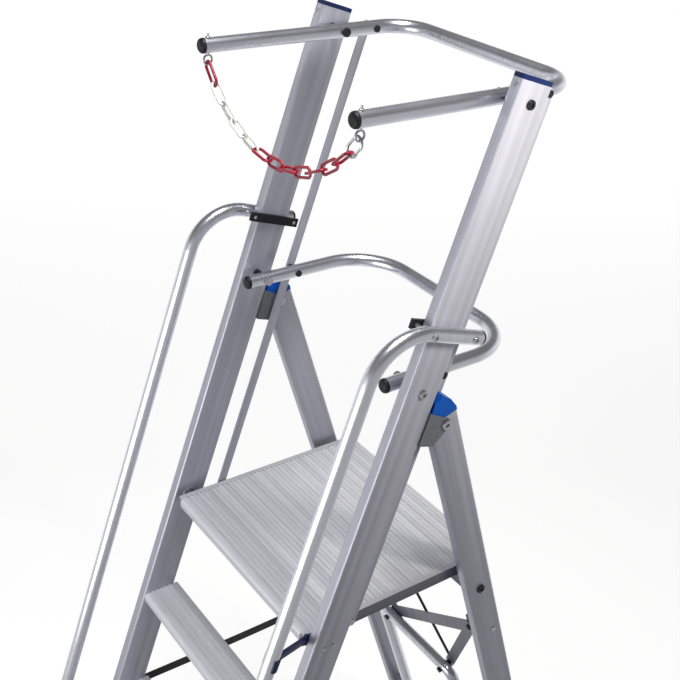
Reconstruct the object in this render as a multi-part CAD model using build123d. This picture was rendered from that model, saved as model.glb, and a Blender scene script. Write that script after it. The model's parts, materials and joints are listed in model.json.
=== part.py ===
"""Platform stepladder with guard rails, a guard chain and a braced rear frame.

Millimetres. X runs across the ladder, the climber faces +Y and Z is up.
Stile frame: x across, d behind the stile's centre line, s up the stile from platform level.
Leg frame: x across, d behind the leg's centre line, t up the leg from its hinge.
"""
import os
from math import asin, atan2, cos, degrees, hypot, radians, sin

from build123d import *

os.makedirs("parts", exist_ok=True)

# Overall layout
RISERS = 5
STEP_RISE = 260.0
STILE_LEAN = 18.0
LEG_LEAN = 19.0
CLEAR_WIDTH = 534.0

# Clearances
RUN_FIT = 0.06
SEAT_FIT = 0.05
SIDE_PLAY = 0.3

# Stiles and legs
STILE_WIDTH = 25.0
STILE_DEPTH = 73.0
STILE_TOP = 1090.0
LEG_DEPTH = 65.0
TUBE_WALL = 2.2
TUBE_CORNER = 4.0
STILE_CAP = 8.0
CAP_STEM = 18.0
CAP_SCREW_DOWN = 9.0
LEG_ABOVE_HINGE = 13.0
LEG_CAP_HEIGHT = 49.0
LEG_CAP_STEM = 11.0

# Shoes
SHOE_WALL = 3.0
SHOE_HEIGHT = 70.0
SHOE_SOLE = 8.0

# Hinge between stile and leg
HINGE_S = 470.0
HINGE_BEHIND = 48.0
HINGE_WEB = 4.0
HINGE_CHEEK = 3.0
HINGE_ROUND = 12.0
HINGE_RISE = 20.0
HINGE_DROP = 46.0
HINGE_FOOT = 36.0
HINGE_LIP = 2.0
HINGE_RADIUS = 6.0
HINGE_BUSH_WALL = 3.0
HINGE_HEAD = 2.4

# Steps and platform
STEP_DEPTH = 84.0
STEP_THICK = 26.0
PLATFORM_DEPTH = 476.0
PLATFORM_THICK = 27.0
PLATFORM_NOSE = 35.0
PLATFORM_WEB_COUNT = 7
SIDE_BAR = 12.0
SIDE_BAR_SHORT = 10.0
TREAD_WALL = 2.4
TREAD_NOSE = 9.0
RIB_PITCH = 11.0
RIB_GROOVE = 5.0
RIB_HEIGHT = 1.4
STEP_RIVET = 2.4
STEP_RIVET_SPREAD = 15.0

# Pivots of the platform and the rails
PIVOT_RADIUS = 6.0
PIVOT_FLANGE = 4.0
PIVOT_FLANGE_RADIUS = 15.0
PIVOT_SHOULDER = 7.0
PIVOT_RIVET_SPREAD = 10.0
RAIL_PIVOT_RADIUS = 5.0
BUSH_RADIUS = 8.0
BOLT_HEAD = 5.0
BOLT_HEAD_RATIO = 1.75
BOLT_SOCKET_RATIO = 0.75
LINK_ARM = 76.0
LINK_WIDTH = 19.0
LINK_THICK = 4.0
LINK_SPACE = 7.5
LINK_PIN_RADIUS = 4.0
LINK_PIN_HEAD = 2.4
LINK_STANDOFF = 1.2
LINK_SPACER = 6.5
LINK_SPACER_RADIUS = 8.0

# Guard rails
RAIL_DIA = 28.0
RAIL_WALL = 2.0
TOP_RAIL_UP = 1003.0
TOP_RAIL_FRONT = 306.0
TOP_RAIL_REAR = 162.0
TOP_RAIL_BEND = 70.0
KNEE_RAIL_UP = 503.0
KNEE_RAIL_FRONT = 39.0
KNEE_RAIL_REAR = 284.0
KNEE_RAIL_BEND = 115.0
PLUG_DOME = 9.0
PLUG_STEM = 14.0

# Handrails
HANDRAIL_GAP = 114.0
HANDRAIL_BEND = 100.0
HANDRAIL_TOP_S = 650.0
HANDRAIL_LOW_RISES = 1.5
HANDRAIL_TAIL = 34.0
CLAMP_HEIGHT = 18.0
CLAMP_SCREW = 3.5
CLAMP_SCREW_INSET = 13.5
CLAMP_OVERHANG = 23.0
STAY_DOWN = 11.0
STAY_HEIGHT = 12.0
STAY_WIDTH = 8.0
STAY_CLIP_WALL = 3.0
STAY_CLIP_LIP = 4.0
STAY_TAB = 5.0
STAY_TAB_LENGTH = 19.0
STAY_TAB_HEIGHT = 24.0

# Guard chain
EYE_WIRE = 2.0
EYE_INSIDE = 6.5
EYE_SHANK = 2.2
EYE_NECK = 1.5
EYE_NUT = 2.4
EYE_TIP = 5.0
EYE_LAND = 0.2
EYE_FROM_END = 9.0
CHAIN_SAG = 115.0
CHAIN_LINKS = 12
CHAIN_FIRST_WHITE = 1
CHAIN_LAST_WHITE = 4
CHAIN_WIRE = 2.75
CHAIN_INSIDE = 6.0
CHAIN_SLACK = 0.6
HOOK_PITCH = 38.0
HOOK_WIRE = 2.5
HOOK_INSIDE = 8.0
GATE_RADIUS = 2.1
GATE_PIN = 1.0
GATE_TONGUE = 2.2
GATE_CHEEK = 1.2
GATE_END_GAP = 0.6

# Rear bracing
REST_BAR_DEPTH = 25.0
REST_BAR_HEIGHT = 50.0
CROSS_BAR_HEIGHT = 40.0
CROSS_BAR_T = -1500.0
BAR_PLUG = 20.0
BAR_BOLT = 5.5
BOW_DIA = 28.0
BOW_WALL = 2.0
BOW_HALF = 140.0
BOW_BEND = 28.0
BOW_TOP_T = -965.0
BOW_D = -38.0
BOW_TAIL = 35.0
BRACE_X = 108.0
BRACE_T = -660.0
BRACE_END_INSET = 17.0
BRACE_THICK = 4.0
DIAGONAL_WIDTH = 33.0
STRUT_WIDTH = 26.0
BRACE_BOLT = 4.0
BRACE_NUT = 5.0
CLEAT_LENGTH = 40.0
CLEAT_REACH = 34.0
CLEAT_DEPTH = 50.0
ROD_RADIUS = 3.4
ROD_EYE = 8.0
ROD_EYE_THICK = 8.0
ROD_TOP_X = -105.0
ROD_NUT = 7.0
ROD_NUT_HEIGHT = 5.0

# Webbing straps
STRAP_STEPS_DOWN = 2
STRAP_UNDER_STEP = 32.0
STRAP_WIDTH = 25.0
STRAP_THICK = 1.6
STRAP_RIVET = 3.0
STRAP_OVERRUN = 14.0

# Worked out from the above
PLATFORM_TOP = RISERS * STEP_RISE
STILE_SIN = sin(radians(STILE_LEAN))
STILE_COS = cos(radians(STILE_LEAN))
LEG_SIN = sin(radians(LEG_LEAN))
LEG_COS = cos(radians(LEG_LEAN))
STILE_IN = CLEAR_WIDTH / 2
STILE_OUT = STILE_IN + STILE_WIDTH
STILE_X = STILE_IN + STILE_WIDTH / 2
STILE_HALF = STILE_DEPTH / 2
LEG_HALF = LEG_DEPTH / 2
LEG_WIDTH = STILE_WIDTH - 2 * SIDE_PLAY
LEG_IN = STILE_IN + SIDE_PLAY
LEG_OUT = STILE_OUT - SIDE_PLAY
HINGE_D = STILE_HALF + HINGE_BEHIND
HINGE_Y = HINGE_S * STILE_SIN + HINGE_D * STILE_COS
HINGE_Z = PLATFORM_TOP + HINGE_S * STILE_COS - HINGE_D * STILE_SIN
FRONT_Y = -PLATFORM_TOP * STILE_SIN / STILE_COS - (STILE_HALF + SHOE_WALL) / STILE_COS
REAR_Y = HINGE_Y + HINGE_Z * LEG_SIN / LEG_COS + (LEG_HALF + SHOE_WALL) / LEG_COS
MID_Y = (FRONT_Y + REAR_Y) / 2

LINK_OUT = STILE_IN - LINK_SPACE
LINK_IN = LINK_OUT - LINK_THICK
PLATFORM_HALF = LINK_IN - 2 * LINK_STANDOFF
RAIL_RADIUS = RAIL_DIA / 2
RAIL_OUT = LINK_IN - LINK_SPACER
RAIL_IN = RAIL_OUT - RAIL_DIA
RAIL_X = RAIL_OUT - RAIL_RADIUS
PIVOT_Z = PLATFORM_TOP - PLATFORM_THICK / 2
PIVOT_Y = -MID_Y + (PIVOT_Z - PLATFORM_TOP) * STILE_SIN / STILE_COS
TOP_RAIL_Z = PLATFORM_TOP + TOP_RAIL_UP
TOP_RAIL_Y = -MID_Y + TOP_RAIL_UP * STILE_SIN / STILE_COS
KNEE_RAIL_Z = PLATFORM_TOP + KNEE_RAIL_UP
KNEE_RAIL_Y = -MID_Y + KNEE_RAIL_UP * STILE_SIN / STILE_COS

HANDRAIL_X = STILE_OUT + RAIL_RADIUS
HANDRAIL_D = -STILE_HALF - HANDRAIL_GAP
HANDRAIL_LOW_S = (HANDRAIL_LOW_RISES * STEP_RISE - PLATFORM_TOP) / STILE_COS
CLAMP_IN = LINK_OUT + 2 * SIDE_PLAY

STILE = Plane(origin=(0, -MID_Y, PLATFORM_TOP), x_dir=(1, 0, 0), z_dir=(0, STILE_SIN, STILE_COS)).location
LEG = Plane(origin=(0, HINGE_Y - MID_Y, HINGE_Z), x_dir=(1, 0, 0), z_dir=(0, -LEG_SIN, LEG_COS)).location
ACROSS = Plane(origin=(0, 0, 0), x_dir=(0, 1, 0), z_dir=(1, 0, 0))
FACING_BACK = Plane(origin=(0, 0, 0), x_dir=(1, 0, 0), z_dir=(0, -1, 0))


def save(name, shape):
    """Write one node of the assembly."""
    export_step(shape, f"parts/{name}.step")


def group(*shapes):
    """Separate solids kept in one node."""
    solids = []
    for shape in shapes:
        solids.extend(shape.solids())
    return Compound(solids)


def mirrored(shape):
    return mirror(shape, about=Plane.YZ)


def pair(shape):
    """A piece and its twin on the other side."""
    return group(shape, mirrored(shape))


def block(x_span, y_span, z_span):
    """Box from its low and high values on each axis."""
    spans = (x_span, y_span, z_span)
    middle = [(low + high) / 2 for low, high in spans]
    return Pos(*middle) * Box(*[high - low for low, high in spans])


def bar_x(x_span, y, z, radius):
    """Round bar along X."""
    low, high = x_span
    return Pos((low + high) / 2, y, z) * Rot(0, 90, 0) * Cylinder(radius, high - low)


def bar_y(x, y_span, z, radius):
    """Round bar along Y."""
    low, high = y_span
    return Pos(x, (low + high) / 2, z) * Rot(90, 0, 0) * Cylinder(radius, high - low)


def bar_z(x, y, z_span, radius):
    """Round bar along Z."""
    low, high = z_span
    return Pos(x, y, (low + high) / 2) * Cylinder(radius, high - low)


def plate(outline, x_span):
    """Flat plate drawn in Y and Z, thick along X."""
    low, high = x_span
    return Pos(low, 0, 0) * extrude(ACROSS * outline, amount=high - low)


def facing_plate(outline, d_span):
    """Flat plate drawn in x and t of the leg frame, thick along d."""
    low, high = d_span
    return Pos(0, high, 0) * extrude(FACING_BACK * outline, amount=high - low)


def bent_rod(points, bend, radius):
    """Round rod along a bent line."""
    path = FilletPolyline(*points, radius=bend)
    start = Plane(path @ 0, z_dir=path % 0)
    return sweep(start * Circle(radius), path=path)


def bent_tube(points, bend, radius, wall):
    """Round tube along a bent line."""
    return bent_rod(points, bend, radius) - bent_rod(points, bend, radius - wall)


def end_plug(tip, direction, radius, wall):
    """Domed plug seated in the open end of a tube, at the point tip and facing direction."""
    seat = Plane(tip, z_dir=direction).location
    head = Pos(0, 0, PLUG_DOME / 2) * Cylinder(radius, PLUG_DOME)
    head = fillet(head.edges().sort_by(Axis.Z)[-1], PLUG_DOME * 0.8)
    stem = Pos(0, 0, -PLUG_STEM / 2) * Cylinder(radius - wall - SEAT_FIT, PLUG_STEM)
    return seat * (head + stem)


def section_bar(location, width, depth, grow, span):
    """Solid of the stile or leg section, grown all round, along its own frame."""
    low, high = span
    outline = RectangleRounded(width + 2 * grow, depth + 2 * grow, TUBE_CORNER + grow)
    return location * Pos(STILE_X, 0, low) * extrude(outline, amount=high - low)


def above(shape, height):
    """The part of a shape above a level."""
    return split(shape, bisect_by=Plane.XY.offset(height), keep=Keep.TOP)


def rivet_x(x_span, y, z, radius, head):
    """Rivet along X with a domed round head beyond the outer end of its shank."""
    edge = x_span[1]
    cap = bar_x((edge, edge + head), y, z, radius * BOLT_HEAD_RATIO)
    rim = cap.edges().filter_by(GeomType.CIRCLE).sort_by(Axis.X)[-1]
    return bar_x(x_span, y, z, radius) + fillet(rim, head * 0.4)


def bolt_x(x_span, y, z, radius, head=BOLT_HEAD):
    """Bolt along X, its domed head with a hexagon socket."""
    tip = x_span[1] + head
    socket = plate(Pos(y, z) * RegularPolygon(radius * BOLT_SOCKET_RATIO, 6), (tip - head / 2, tip))
    return rivet_x(x_span, y, z, radius, head) - socket


def tread(y_front, depth, thick, top, x_half, webs):
    """Hollow ribbed tread, ribs along X."""
    outline = Pos(depth / 2, -thick / 2) * Rectangle(depth, thick)
    front = outline.vertices().group_by(Axis.X)[0]
    outline = fillet(front, TREAD_NOSE)
    ribbed = depth - 2 * TREAD_NOSE
    count = int(ribbed // RIB_PITCH)
    slot = Rectangle(RIB_GROOVE, 2 * RIB_HEIGHT)
    outline -= [Pos(depth / 2, 0) * place * slot for place in GridLocations(RIB_PITCH, 1, count, 1)]
    roof = TREAD_WALL + RIB_HEIGHT
    cell_height = thick - TREAD_WALL - roof
    hollow = depth - 2 * TREAD_NOSE
    cell = (hollow - webs * TREAD_WALL) / (webs + 1)
    middle = Pos(depth / 2, -roof - cell_height / 2)
    holes = GridLocations(cell + TREAD_WALL, 1, webs + 1, 1)
    outline -= [middle * place * Rectangle(cell, cell_height) for place in holes]
    return Pos(0, y_front, top) * extrude(ACROSS * outline, amount=x_half, both=True)


# Positions in the stile frame
PIVOT_S = (PIVOT_Z - PLATFORM_TOP) / STILE_COS
TOP_RAIL_S = TOP_RAIL_UP / STILE_COS
KNEE_RAIL_S = KNEE_RAIL_UP / STILE_COS
LINK_D = LINK_ARM * STILE_COS
LINK_RISE = LINK_ARM * STILE_SIN
STILE_FOOT_S = -PLATFORM_TOP / STILE_COS
LEG_FOOT_T = -HINGE_Z / LEG_COS
STEP_TOPS = [STEP_RISE * count for count in range(1, RISERS)]


def stile_mid(z):
    """Y of the stile's centre line at a height."""
    return -MID_Y + (z - PLATFORM_TOP) * STILE_SIN / STILE_COS


def leg_mid(z):
    """Y of the leg's centre line at a height."""
    return HINGE_Y - MID_Y + (HINGE_Z - z) * LEG_SIN / LEG_COS


# Rivets of the steps and of the platform pivots: head on the stile's outer face, shank through both walls
rivet_points = []
for top in STEP_TOPS:
    rivet_z = top - STEP_THICK / 2
    for offset in (-STEP_RIVET_SPREAD, STEP_RIVET_SPREAD):
        rivet_points.append((stile_mid(rivet_z) + offset, rivet_z))
rivet_points.append((PIVOT_Y - PIVOT_RIVET_SPREAD, PIVOT_Z))
rivet_points.append((PIVOT_Y + PIVOT_RIVET_SPREAD, PIVOT_Z))
rivet_span = (STILE_IN - 2 * STEP_RIVET, STILE_OUT)
stile_rivets = [rivet_x(rivet_span, y, z, STEP_RIVET, STEP_RIVET) for y, z in rivet_points]

# Straps just under the level of a step, with a rivet in the stile and one in the leg
STRAP_Z = PLATFORM_TOP - STRAP_STEPS_DOWN * STEP_RISE - STRAP_UNDER_STEP
strap_front = stile_mid(STRAP_Z)
strap_rear = leg_mid(STRAP_Z)
strap_x = (STILE_OUT, STILE_OUT + STRAP_THICK)
strap_y = (strap_front - STRAP_OVERRUN, strap_rear + STRAP_OVERRUN)
strap = block(strap_x, strap_y, (STRAP_Z - STRAP_WIDTH / 2, STRAP_Z + STRAP_WIDTH / 2))
for y in (strap_front, strap_rear):
    strap -= bar_x(strap_x, y, STRAP_Z, STRAP_RIVET + SEAT_FIT)
save("strap_right", strap)
save("strap_left", mirrored(strap))
strap_rivet_x = (STILE_OUT - 3 * TUBE_WALL, STILE_OUT + STRAP_THICK)
front_rivet = rivet_x(strap_rivet_x, strap_front, STRAP_Z, STRAP_RIVET, STEP_RIVET)
rear_rivet = rivet_x(strap_rivet_x, strap_rear, STRAP_Z, STRAP_RIVET, STEP_RIVET)

# Stiles: rectangular tube cut level above the sole of the shoe
stile_span = (STILE_FOOT_S - STILE_DEPTH, STILE_TOP)
stile_skin = section_bar(STILE, STILE_WIDTH, STILE_DEPTH, 0, stile_span)
stile_solid = above(stile_skin, SHOE_SOLE)
stile_bore = section_bar(STILE, STILE_WIDTH, STILE_DEPTH, -TUBE_WALL, stile_span)
stile = stile_solid - stile_bore
through = (STILE_IN - 1, STILE_OUT + 1)
for y, z in rivet_points:
    stile -= bar_x(through, y, z, STEP_RIVET + SEAT_FIT)
stile -= bar_x((STILE_X, STILE_OUT + 1), strap_front, STRAP_Z, STRAP_RIVET + SEAT_FIT)
for y, z in ((TOP_RAIL_Y, TOP_RAIL_Z), (KNEE_RAIL_Y, KNEE_RAIL_Z)):
    stile -= bar_x(through, y, z, RAIL_PIVOT_RADIUS + SEAT_FIT)

# Hinge bracket: a channel on the back of the stile, cheeks either side of the leg
hinge_screw_s = (HINGE_S - HINGE_DROP * 0.75, HINGE_S - HINGE_DROP * 0.15)
cheek_edges = (Pos(HINGE_D, HINGE_S) * Circle(HINGE_ROUND)).edges()
cheek_root = Pos(STILE_HALF + HINGE_WEB / 2, HINGE_S + (HINGE_RISE - HINGE_DROP) / 2)
cheek_edges += (cheek_root * Rectangle(HINGE_WEB, HINGE_RISE + HINGE_DROP)).edges()
cheek_foot = Pos(STILE_HALF + HINGE_FOOT / 2, HINGE_S - HINGE_DROP + HINGE_LIP / 2)
cheek_edges += (cheek_foot * Rectangle(HINGE_FOOT, HINGE_LIP)).edges()
cheek_outline = make_hull(cheek_edges)
cheeks = plate(cheek_outline, (STILE_OUT, STILE_OUT + HINGE_CHEEK))
cheeks += plate(cheek_outline, (STILE_IN - HINGE_CHEEK, STILE_IN))
web_s = (HINGE_S - HINGE_DROP, HINGE_S + HINGE_RISE)
web = block((STILE_IN - HINGE_CHEEK, STILE_OUT + HINGE_CHEEK), (STILE_HALF, STILE_HALF + HINGE_WEB), web_s)
bracket = cheeks + web
hinge_hole_x = (STILE_IN - 2 * HINGE_CHEEK, STILE_OUT + 2 * HINGE_CHEEK)
bracket -= bar_x(hinge_hole_x, HINGE_D, HINGE_S, HINGE_RADIUS + SEAT_FIT)
frame_screws = []
for s in hinge_screw_s:
    screw_d = (STILE_HALF - 4 * TUBE_WALL, STILE_HALF + HINGE_WEB)
    bracket -= bar_y(STILE_X, screw_d, s, STRAP_RIVET + SEAT_FIT)
    stile -= STILE * bar_y(STILE_X, (0, STILE_DEPTH), s, STRAP_RIVET + SEAT_FIT)
    head = bar_y(STILE_X, (screw_d[1], screw_d[1] + STRAP_RIVET), s, 2 * STRAP_RIVET)
    frame_screws.append(STILE * (bar_y(STILE_X, screw_d, s, STRAP_RIVET) + head))
save("hinge_brackets", pair(STILE * bracket))
hinge_pin_x = (STILE_IN - HINGE_CHEEK, STILE_OUT + HINGE_CHEEK)
hinge_pin = bolt_x(hinge_pin_x, HINGE_D, HINGE_S, HINGE_RADIUS)
inner_head_x = (hinge_pin_x[0] - HINGE_HEAD, hinge_pin_x[0])
hinge_pin += bar_x(inner_head_x, HINGE_D, HINGE_S, HINGE_RADIUS * BOLT_HEAD_RATIO)
save("hinge_bolts", pair(STILE * hinge_pin))

# Caps on the stiles, each held by a screw in the front face
cap = section_bar(STILE, STILE_WIDTH, STILE_DEPTH, 0, (STILE_TOP, STILE_TOP + STILE_CAP))
stem_outline = RectangleRounded(
    STILE_WIDTH - 2 * TUBE_WALL - 2 * SEAT_FIT,
    STILE_DEPTH - 2 * TUBE_WALL - 2 * SEAT_FIT,
    TUBE_CORNER - TUBE_WALL,
)
cap += STILE * Pos(STILE_X, 0, STILE_TOP - CAP_STEM) * extrude(stem_outline, amount=CAP_STEM)
cap_screw_s = STILE_TOP - CAP_SCREW_DOWN
cap_screw_d = (-STILE_HALF, 4 * TUBE_WALL - STILE_HALF)
cap_hole = STILE * bar_y(STILE_X, cap_screw_d, cap_screw_s, STRAP_RIVET + SEAT_FIT)
cap -= cap_hole
stile -= cap_hole
save("stile_caps", pair(cap))
cap_screw = bar_y(STILE_X, cap_screw_d, cap_screw_s, STRAP_RIVET)
cap_head_d = (cap_screw_d[0] - STRAP_RIVET / 2, cap_screw_d[0])
cap_screw += bar_y(STILE_X, cap_head_d, cap_screw_s, 1.5 * STRAP_RIVET)
save("frame_screws", pair(group(STILE * cap_screw, *frame_screws)))
save("stile_left", mirrored(stile))

# The rivet of the handrail's stay is in the right stile only
stay_rivet_d = STAY_TAB_LENGTH / 2 - STILE_HALF
stay_rivet_x = (STILE_IN - STAY_TAB, STILE_IN + 3 * TUBE_WALL)
stay_hole = STILE * bar_x(stay_rivet_x, stay_rivet_d, -STAY_DOWN, STRAP_RIVET + SEAT_FIT)
stay_rivet = bar_x(stay_rivet_x, stay_rivet_d, -STAY_DOWN, STRAP_RIVET)
stay_head_x = (stay_rivet_x[0] - STEP_RIVET, stay_rivet_x[0])
stay_rivet += bar_x(stay_head_x, stay_rivet_d, -STAY_DOWN, 2 * STRAP_RIVET)
save("front_rivets", group(pair(group(front_rivet, *stile_rivets)), STILE * stay_rivet))
save("stile_right", stile - stay_hole)


def shoe(location, width, depth, foot):
    """Boot round the foot of a stile or leg, flat on the floor."""
    low = foot - 2 * depth
    boot = above(section_bar(location, width, depth, SHOE_WALL, (low, foot + SHOE_HEIGHT)), 0)
    socket = section_bar(location, width, depth, SEAT_FIT, (low, foot + 2 * SHOE_HEIGHT))
    return boot - above(socket, SHOE_SOLE)


save("front_shoes", pair(shoe(STILE, STILE_WIDTH, STILE_DEPTH, STILE_FOOT_S)))
save("rear_shoes", pair(shoe(LEG, LEG_WIDTH, LEG_DEPTH, LEG_FOOT_T)))

# Steps
for count, top in enumerate(STEP_TOPS, start=1):
    step_front = stile_mid(top) - STILE_HALF / STILE_COS
    save(f"step_{count}", tread(step_front, STEP_DEPTH, STEP_THICK, top, STILE_IN, 0))

# Platform: ribbed deck between two side bars that turn on the platform pivots
deck_half = PLATFORM_HALF - SIDE_BAR
deck_front = PIVOT_Y - PLATFORM_NOSE
deck = tread(deck_front, PLATFORM_DEPTH, PLATFORM_THICK, PLATFORM_TOP, deck_half, PLATFORM_WEB_COUNT)
save("platform_deck", deck)
link_pin_y = PIVOT_Y + LINK_ARM
side_length = PLATFORM_DEPTH - SIDE_BAR_SHORT
side_outline = Pos(side_length / 2, -PLATFORM_THICK / 2) * Rectangle(side_length, PLATFORM_THICK)
side_outline = fillet(side_outline.vertices().group_by(Axis.X)[0], TREAD_NOSE)
side = Pos(0, deck_front, PLATFORM_TOP) * plate(side_outline, (deck_half, PLATFORM_HALF))
side_span = (deck_half - 1, PLATFORM_HALF + 1)
side -= bar_x(side_span, PIVOT_Y, PIVOT_Z, PIVOT_RADIUS + RUN_FIT)
side -= bar_x(side_span, link_pin_y, PIVOT_Z, LINK_PIN_RADIUS + SEAT_FIT)
save("platform_side_right", side)
save("platform_side_left", mirrored(side))
flange_in = STILE_IN - PIVOT_FLANGE
pivot_stub = bar_x((deck_half + SIDE_PLAY, STILE_IN), PIVOT_Y, PIVOT_Z, PIVOT_RADIUS)
pivot_stub += bar_x((PLATFORM_HALF + SIDE_PLAY, STILE_IN), PIVOT_Y, PIVOT_Z, PIVOT_SHOULDER)
pivot_stub += bar_x((flange_in, STILE_IN), PIVOT_Y, PIVOT_Z, PIVOT_FLANGE_RADIUS)
for offset in (-PIVOT_RIVET_SPREAD, PIVOT_RIVET_SPREAD):
    pivot_stub -= bar_x((flange_in, STILE_IN), PIVOT_Y + offset, PIVOT_Z, STEP_RIVET + SEAT_FIT)
save("platform_pivots", pair(pivot_stub))
link_head_x = (LINK_OUT + SIDE_PLAY, LINK_OUT + SIDE_PLAY + LINK_PIN_HEAD)
pin_head_radius = LINK_PIN_RADIUS * BOLT_HEAD_RATIO
platform_pin = bar_x((deck_half + SIDE_PLAY, link_head_x[1]), link_pin_y, PIVOT_Z, LINK_PIN_RADIUS)
platform_pin += bar_x((PLATFORM_HALF, LINK_IN - SIDE_PLAY), link_pin_y, PIVOT_Z, pin_head_radius)
platform_pin += bar_x(link_head_x, link_pin_y, PIVOT_Z, pin_head_radius)
save("platform_link_pins", pair(platform_pin))


def guard_rail(name, pivot_y, pivot_z, front, rear, bend, extra_holes):
    """U-shaped rail on two pivot bolts, with plugs and the spacers and pins of the link bars."""
    ends = (pivot_y - front, pivot_y + rear)
    corners = [(-RAIL_X, ends[0]), (-RAIL_X, ends[1]), (RAIL_X, ends[1]), (RAIL_X, ends[0])]
    tube = bent_tube([(x, y, pivot_z) for x, y in corners], bend, RAIL_RADIUS, RAIL_WALL)
    plug = end_plug((RAIL_X, ends[0], pivot_z), (0, -1, 0), RAIL_RADIUS, RAIL_WALL)
    pin_y = pivot_y + LINK_ARM
    tube_span = (RAIL_IN - RAIL_DIA, RAIL_OUT + RAIL_DIA)
    pivot_hole = bar_x(tube_span, pivot_y, pivot_z, RAIL_PIVOT_RADIUS + RUN_FIT)
    pin_hole = bar_x(tube_span, pin_y, pivot_z, LINK_PIN_RADIUS + SEAT_FIT)
    for hole in [pivot_hole, pin_hole] + extra_holes:
        tube -= hole
        tube -= mirrored(hole)
    for hole in extra_holes:
        plug -= hole
    save(f"{name}_tube", tube)
    save(f"{name}_plugs", pair(plug))

    saddle = bar_y(RAIL_X, ends, pivot_z, RAIL_RADIUS + SEAT_FIT)
    spacer = bar_x((RAIL_X, LINK_IN - SIDE_PLAY), pin_y, pivot_z, LINK_SPACER_RADIUS) - saddle - pin_hole
    save(f"{name}_spacers", pair(spacer))

    pin = bar_x((RAIL_IN - LINK_PIN_HEAD, RAIL_X), pin_y, pivot_z, LINK_PIN_RADIUS * BOLT_HEAD_RATIO) - saddle
    pin += bar_x((RAIL_IN - LINK_PIN_HEAD, link_head_x[1]), pin_y, pivot_z, LINK_PIN_RADIUS)
    pin += bar_x(link_head_x, pin_y, pivot_z, LINK_PIN_RADIUS * BOLT_HEAD_RATIO)
    save(f"{name}_link_pins", pair(pin))

    nut_x = (RAIL_IN - SIDE_PLAY - BOLT_HEAD, RAIL_IN - SIDE_PLAY)
    bolt = bolt_x((nut_x[0], STILE_OUT), pivot_y, pivot_z, RAIL_PIVOT_RADIUS)
    bolt += bar_x(nut_x, pivot_y, pivot_z, RAIL_PIVOT_RADIUS * BOLT_HEAD_RATIO)
    save(f"{name}_pivots", pair(bolt))

    bush_x = (RAIL_OUT + SIDE_PLAY, STILE_IN)
    bush = bar_x(bush_x, pivot_y, pivot_z, BUSH_RADIUS)
    return bush - bar_x(bush_x, pivot_y, pivot_z, RAIL_PIVOT_RADIUS + SEAT_FIT)


# Eye bolts through the front ends of the top rail
eye_y = TOP_RAIL_Y - TOP_RAIL_FRONT + EYE_FROM_END
eye_ring = EYE_INSIDE + EYE_WIRE
eye_z = TOP_RAIL_Z - RAIL_RADIUS - EYE_NECK - eye_ring - EYE_WIRE
eye_hole = bar_z(RAIL_X, eye_y, (TOP_RAIL_Z - RAIL_DIA, TOP_RAIL_Z + RAIL_DIA), EYE_SHANK + SEAT_FIT)
top_bush = guard_rail(
    "top_rail", TOP_RAIL_Y, TOP_RAIL_Z, TOP_RAIL_FRONT, TOP_RAIL_REAR, TOP_RAIL_BEND, [eye_hole]
)
knee_bush = guard_rail(
    "knee_rail", KNEE_RAIL_Y, KNEE_RAIL_Z, KNEE_RAIL_FRONT, KNEE_RAIL_REAR, KNEE_RAIL_BEND, []
)
save("pivot_bushes", pair(group(top_bush, knee_bush)))
eye_bolt = Pos(RAIL_X, eye_y, eye_z) * Rot(0, 90, 0) * Torus(eye_ring, EYE_WIRE)
eye_top = TOP_RAIL_Z + RAIL_RADIUS
eye_bolt += bar_z(RAIL_X, eye_y, (eye_z + eye_ring, eye_top + EYE_NUT + EYE_TIP), EYE_SHANK)
eye_nut = bar_z(RAIL_X, eye_y, (eye_top, eye_top + EYE_NUT), 2 * EYE_SHANK)
eye_bolt += fillet(eye_nut.edges().sort_by(Axis.Z)[-1], EYE_NUT * 0.6)
eye_bolt -= bar_x((RAIL_X - EYE_WIRE, RAIL_X + EYE_WIRE), eye_y, eye_z, EYE_INSIDE + EYE_LAND)
save("chain_eye_bolts", pair(eye_bolt))

# Link bars parallel to the stiles, one pin each on the platform, the knee rail and the top rail
link_low = PIVOT_S + LINK_RISE
link_high = TOP_RAIL_S + LINK_RISE
link_outline = Pos(LINK_D, (link_low + link_high) / 2) * Rot(0, 0, 90) * SlotCenterToCenter(
    link_high - link_low, LINK_WIDTH
)
link = plate(link_outline, (LINK_IN, LINK_OUT))
for s in (link_low, KNEE_RAIL_S + LINK_RISE, link_high):
    link -= bar_x((LINK_IN, LINK_OUT), LINK_D, s, LINK_PIN_RADIUS + RUN_FIT)
save("link_bar_right", STILE * link)
save("link_bar_left", mirrored(STILE * link))

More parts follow.
